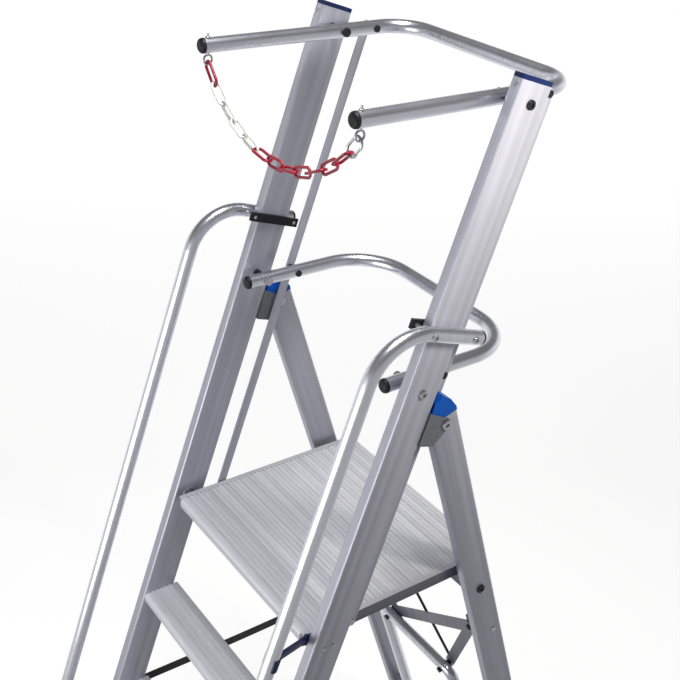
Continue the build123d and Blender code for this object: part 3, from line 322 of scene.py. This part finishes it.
def moulded_plastic(name, colour, rough, grain=0.08, mottle=0.18, coat=0.0, shine=0.5):
    """Moulded plastic: fine skin texture, faint flow marks and handling wear."""
    material, graph, shader, place = new_material(name)
    skin = graph.noise(place, SKIN_SCALE, detail=2, rough=0.5)
    flow = graph.noise(graph.mapping(place, scale=FLOW_SCALE), scale=1, detail=4, rough=0.6)
    rubbed = graph.mapping(place, rotation=SCUFF_TURN, scale=SCUFF_SCALE)
    scuff = graph.noise(rubbed, scale=1, detail=3, rough=0.6)
    flows = graph.spread(flow, 0.0, 1.0)
    tone = graph.mix(flows, shade(colour, 1 - mottle), shade(colour, 1 + mottle))
    light = tuple(min(1.0, part * SCUFF_FADE + SCUFF_LIFT) for part in colour)
    tone = graph.layer(tone, light, scuff, share=0.3, start=0.64, stop=0.85)
    graph.join(tone, shader.inputs["Base Color"])
    worn = graph.spread(flow, *(rough + part for part in FLOW_ROUGH))
    scuffed = graph.spread(scuff, *SCUFF_ROUGH)
    graph.join(graph.maths("ADD", worn, scuffed), shader.inputs["Roughness"])
    shader.inputs["Coat Weight"].default_value = coat
    shader.inputs["Specular IOR Level"].default_value = shine
    graph.join(graph.bump(skin, grain, SKIN_DEPTH), shader.inputs["Normal"])
    return material


def plated_steel(name, colour, rough, metallic=1.0):
    """Grey, zinc or black finish on steel: cloudy crystals and worn spots."""
    material, graph, shader, place = new_material(name)
    cells = graph.add("ShaderNodeTexVoronoi")
    cells.inputs["Scale"].default_value = CRYSTAL_SCALE
    graph.join(place, cells.inputs["Vector"])
    cloud = graph.noise(place, CLOUD_SCALE, detail=4, rough=0.6)
    crystals = graph.spread(cells.outputs["Distance"], 0.0, 1.0, start=0.1, stop=0.7)
    tone = graph.mix(crystals, *(shade(colour, factor) for factor in CRYSTAL_TONES))
    clouded = shade(colour, CLOUD_TONE)
    tone = graph.layer(tone, clouded, cloud, share=0.5, start=0.45, stop=0.75)
    graph.join(tone, shader.inputs["Base Color"])
    worn = graph.spread(cloud, *(rough + part for part in CLOUD_ROUGH))
    graph.join(worn, shader.inputs["Roughness"])
    shader.inputs["Metallic"].default_value = metallic
    graph.join(graph.bump(cloud, CLOUD_BUMP, CLOUD_DEPTH), shader.inputs["Normal"])
    return material


def webbing(name, colour):
    """Woven strap: ribs across its length and a fine over-and-under weave."""
    material, graph, shader, place = new_material(name)
    ribs = graph.wave(place, "Y", scale=130, distortion=0.4)
    yarn = graph.wave(place, "Z", scale=190, distortion=0.6)
    weave = graph.maths("MULTIPLY", ribs, yarn)
    fuzz = graph.noise(place, FUZZ_SCALE, detail=3, rough=0.6)
    tone = graph.mix(weave, *(shade(colour, factor) for factor in WEAVE_TONES))
    fuzzy = shade(colour, FUZZ_TONE)
    tone = graph.layer(tone, fuzzy, fuzz, share=0.4, start=0.5, stop=0.8)
    graph.join(tone, shader.inputs["Base Color"])
    shader.inputs["Roughness"].default_value = WEBBING_ROUGH
    shader.inputs["Sheen Weight"].default_value = WEBBING_SHEEN
    height = graph.maths("ADD", weave, fuzz)
    graph.join(graph.bump(height, WEAVE_BUMP, WEAVE_DEPTH), shader.inputs["Normal"])
    return material


stile_metal = brushed_metal(
    "stile_aluminium", ALUMINIUM, rough=0.36, metallic=0.5, lean=STILE_LEAN, crown_point=STILE_POINT
)
leg_metal = brushed_metal(
    "leg_aluminium", LEG, rough=0.36, metallic=0.5, lean=LEG_LEAN, crown_point=LEG_POINT
)
# Rest bar and cross bar: aluminium darkened with painted shade
bar_metal = brushed_metal("bar_aluminium", PAINTED_SHADE_ALUMINIUM, rough=0.42, metallic=0.35, along="x")
# Platform sides: aluminium darkened with painted shade, with a painted highlight in the tread
# colour on their upward faces
side_metal = brushed_metal(
    "side_aluminium", PAINTED_SHADE_ALUMINIUM, rough=0.42, metallic=0.35, along="y", painted_lit_top=TREAD
)
tread_metal = brushed_metal(
    "tread_aluminium", TREAD, rough=0.44, metallic=0.15, along="x", grain=0.7
)
post_tube = brushed_metal("post_tube", TUBE, lean=STILE_LEAN, **TUBE_LOOK)
rail_tube = brushed_metal("rail_tube", TUBE, along="y", **TUBE_LOOK)
bow_tube = brushed_metal("bow_tube", TUBE, lean=LEG_LEAN, **TUBE_LOOK)
link_metal = brushed_metal(
    "link_aluminium", ALUMINIUM, rough=0.38, metallic=0.5, lean=STILE_LEAN, grain=0.8
)
# Braces: aluminium darkened with painted shade
brace_metal = brushed_metal(
    "brace_aluminium", PAINTED_SHADE_ALUMINIUM, rough=0.4, metallic=0.4, lean=LEG_LEAN, grain=0.8
)
bracket_metal = plated_steel("bracket_grey", (0.17, 0.175, 0.2), rough=0.42, metallic=0.4)
zinc_metal = plated_steel("zinc_plate", (0.58, 0.58, 0.6), rough=0.32)
black_metal = plated_steel("black_steel", (0.01, 0.01, 0.014), rough=0.45, metallic=0.2)
black_plastic = moulded_plastic("black_plastic", (0.007, 0.007, 0.01), rough=0.45, shine=0.25)
blue_plastic = moulded_plastic("blue_plastic", (0.004, 0.072, 0.39), rough=0.42, shine=0.2)
dark_blue_plastic = moulded_plastic(
    "dark_blue_plastic", (0.004, 0.01, 0.052), rough=0.45, shine=0.3
)
shoe_rubber = moulded_plastic("shoe_rubber", (0.014, 0.014, 0.015), rough=0.7, grain=0.2)
red_plastic = moulded_plastic(
    "red_plastic", (0.25, 0.003, 0.02), rough=0.34, mottle=0.1, coat=0.15
)
white_plastic = moulded_plastic(
    "white_plastic", (0.6, 0.6, 0.58), rough=0.34, mottle=0.05, coat=0.2
)
strap_fabric = webbing("strap_webbing", (0.014, 0.014, 0.016))

FINISH = {
    stile_metal: ("stile_left", "stile_right"),
    leg_metal: ("leg_left", "leg_right"),
    bar_metal: ("platform_rest_bar", "rear_cross_bar"),
    side_metal: ("platform_side_left", "platform_side_right"),
    tread_metal: ("step_1", "step_2", "step_3", "step_4", "platform_deck"),
    post_tube: ("handrail_left", "handrail_right"),
    rail_tube: ("top_rail_tube", "knee_rail_tube"),
    bow_tube: ("brace_bow",),
    link_metal: ("link_bar_left", "link_bar_right"),
    brace_metal: ("diagonal_brace", "brace_struts", "brace_cleats"),
    bracket_metal: ("hinge_brackets",),
    zinc_metal: (
        "chain_eye_bolts", "snap_hook", "snap_gate", "handrail_screws", "frame_screws",
        "front_rivets", "rear_rivets", "platform_link_pins", "knee_rail_pivots",
        "platform_pivots", "hinge_bolts",
    ),
    black_metal: (
        "brace_bolts", "cross_bar_bolts", "tie_rod", "top_rail_pivots", "top_rail_link_pins",
        "knee_rail_link_pins",
    ),
    black_plastic: (
        "top_rail_plugs", "knee_rail_plugs", "handrail_plugs", "bow_plugs", "top_rail_spacers",
        "knee_rail_spacers", "handrail_clamps", "pivot_bushes", "hinge_bushes",
        "cross_bar_plugs",
    ),
    blue_plastic: ("leg_caps",),
    dark_blue_plastic: ("stile_caps", "handrail_stay"),
    shoe_rubber: ("front_shoes", "rear_shoes"),
    red_plastic: ("chain_red_links",),
    white_plastic: ("chain_white_links",),
    strap_fabric: ("strap_left", "strap_right"),
}


def paint(piece, material):
    piece.data.materials.clear()
    piece.data.materials.append(material)


def new_piece(name, mesh_build):
    """A mesh piece made by a function that fills a bmesh."""
    mesh = bpy.data.meshes.new(name)
    shape = bmesh.new()
    mesh_build(shape)
    shape.to_mesh(mesh)
    shape.free()
    piece = bpy.data.objects.new(name, mesh)
    bpy.context.scene.collection.objects.link(piece)
    return piece


def squared(value, power):
    """A sine or cosine pushed outwards, so that a ring of them has flat sides."""
    return abs(value) ** power * (1 if value >= 0 else -1)


def make_strap(node):
    """Webbing in the place of its CAD bar: rounded edges and a slight hang between the rivets."""
    low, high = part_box(node)
    middle_x = (low.x + high.x) / 2
    half_x = (high.x - low.x) / 2
    middle_z = (low.z + high.z) / 2
    half_z = (high.z - low.z) / 2
    run = high.y - low.y
    outline = []
    for turn in range(STRAP_CORNERS):
        angle = radians(360 / STRAP_CORNERS * turn)
        side = half_x * squared(cos(angle), STRAP_SIDE_POWER)
        rise = half_z * squared(sin(angle), STRAP_RISE_POWER)
        outline.append((side, rise))

    def build(shape):
        rings = []
        for step in range(STRAP_STEPS + 1):
            share = step / STRAP_STEPS
            y = low.y + run * share
            # None at the ends, all of the sag in the middle
            hang = STRAP_SAG * (4 * share * (1 - share)) ** 2
            rings.append([
                shape.verts.new((middle_x + side, y, middle_z + rise - hang))
                for side, rise in outline
            ])
        for first, second in zip(rings, rings[1:]):
            for corner in range(STRAP_CORNERS):
                after = (corner + 1) % STRAP_CORNERS
                shape.faces.new((first[corner], first[after], second[after], second[corner]))
        shape.faces.new(list(reversed(rings[0])))
        shape.faces.new(rings[-1])
        bmesh.ops.recalc_face_normals(shape, faces=shape.faces)

    piece = new_piece(node + "_webbing", build)
    paint(piece, strap_fabric)
    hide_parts(node)
    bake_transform(piece)


def make_camera():
    back = Vector((
        sin(CAMERA_AZIMUTH) * cos(CAMERA_HEIGHT),
        -cos(CAMERA_AZIMUTH) * cos(CAMERA_HEIGHT),
        sin(CAMERA_HEIGHT),
    ))
    level = Vector((cos(CAMERA_AZIMUTH), sin(CAMERA_AZIMUTH), 0))
    upright = back.cross(level)
    right = level * cos(CAMERA_ROLL) + upright * sin(CAMERA_ROLL)
    up = back.cross(right)
    data = bpy.data.cameras.new("photo_camera")
    data.lens = CAMERA_LENS
    data.sensor_width = SENSOR
    data.sensor_fit = "HORIZONTAL"
    data.clip_end = CAMERA_REACH
    camera = bpy.data.objects.new("photo_camera", data)
    camera.matrix_world = Matrix((
        (right.x, up.x, back.x, CAMERA_PLACE.x),
        (right.y, up.y, back.y, CAMERA_PLACE.y),
        (right.z, up.z, back.z, CAMERA_PLACE.z),
        (0, 0, 0, 1),
    ))
    bpy.context.scene.collection.objects.link(camera)
    bpy.context.scene.camera = camera


def floor_material():
    """Pale floor: diffuse, with a glow for the eye and reflections that is white in the sweep."""
    material = bpy.data.materials.new("pale_floor")
    material.use_nodes = True
    graph = Graph(material.node_tree)
    diffuse = graph.add("ShaderNodeBsdfDiffuse")
    diffuse.inputs["Color"].default_value = (*FLOOR_COLOUR, 1)
    bright = graph.add("ShaderNodeEmission")
    bright.inputs["Color"].default_value = (*WHITE, 1)
    path = graph.add("ShaderNodeLightPath")
    seen = graph.maths("MAXIMUM", path.outputs["Is Camera Ray"], path.outputs["Is Glossy Ray"])
    seen = graph.maths("MAXIMUM", seen, path.outputs["Is Transmission Ray"])
    place = graph.add("ShaderNodeTexCoord").outputs["Object"]
    away = graph.add("ShaderNodeVectorMath", operation="LENGTH")
    graph.join(place, away.inputs[0])
    far = away.outputs["Value"]
    reach = graph.along(place, SWEEP_SIDE)
    softened = graph.maths("ADD", graph.maths("MULTIPLY", far, far), SWEEP_SIZE ** 2)
    softened = graph.maths("POWER", softened, SQUARE_ROOT)
    share = graph.sweep(graph.maths("DIVIDE", reach, softened))
    plain = graph.spread(far, *FLOOR_GLOW)
    more = graph.maths("SUBTRACT", graph.spread(reach, *SWEEP_GLOW), plain)
    glow = graph.maths("ADD", plain, graph.maths("MULTIPLY", share, more))
    graph.join(graph.maths("MULTIPLY", seen, glow), bright.inputs["Strength"])
    both = graph.add("ShaderNodeAddShader")
    graph.join(diffuse.outputs["BSDF"], both.inputs[0])
    graph.join(bright.outputs["Emission"], both.inputs[1])
    output = graph.add("ShaderNodeOutputMaterial")
    graph.join(both.outputs["Shader"], output.inputs["Surface"])
    return material


def make_floor():
    def build(shape):
        corners = ((-1, -1), (1, -1), (1, 1), (-1, 1))
        shape.faces.new([shape.verts.new((x * FLOOR_HALF, y * FLOOR_HALF, 0)) for x, y in corners])

    floor = new_piece("floor", build)
    paint(floor, floor_material())


def make_room():
    """Studio dome: pale grey walls low down, white in the sweep, and a darker ceiling above."""
    world = bpy.data.worlds.new("studio")
    bpy.context.scene.world = world
    world.use_nodes = True
    graph = Graph(world.node_tree)
    way = graph.add("ShaderNodeTexCoord").outputs["Generated"]
    parts = graph.add("ShaderNodeSeparateXYZ")
    graph.join(way, parts.inputs[0])
    low = graph.spread(parts.outputs["Z"], 1.0, 0.0, *WALL_EDGE)
    share = graph.sweep(graph.along(way, SWEEP_SIDE))
    wall = graph.spread(share, *WALL_GLOW, start=0.0, stop=1.0)
    room = graph.add("ShaderNodeBackground")
    room.inputs["Color"].default_value = (*WHITE, 1)
    light = graph.maths("ADD", graph.maths("MULTIPLY", low, wall), CEILING_GLOW)
    graph.join(light, room.inputs["Strength"])
    output = graph.add("ShaderNodeOutputWorld")
    graph.join(room.outputs["Background"], output.inputs["Surface"])


def make_lamps():
    for name, place, aim, width, height, power, colour, mirrored in LAMPS:
        data = bpy.data.lights.new(name, "AREA")
        data.shape = "RECTANGLE"
        data.size = width
        data.size_y = height
        data.energy = power
        data.color = colour
        lamp = bpy.data.objects.new(name, data)
        lamp.location = place
        lamp.rotation_euler = (Vector(aim) - Vector(place)).to_track_quat("-Z", "Y").to_euler()
        lamp.visible_camera = False
        lamp.visible_glossy = mirrored
        bpy.context.scene.collection.objects.link(lamp)


for material, names in FINISH.items():
    for name in names:
        paint(NODES[name], material)
for node in ("strap_left", "strap_right"):
    make_strap(node)
make_camera()
make_floor()
make_room()
make_lamps()
bpy.context.scene.view_settings.view_transform = "Standard"
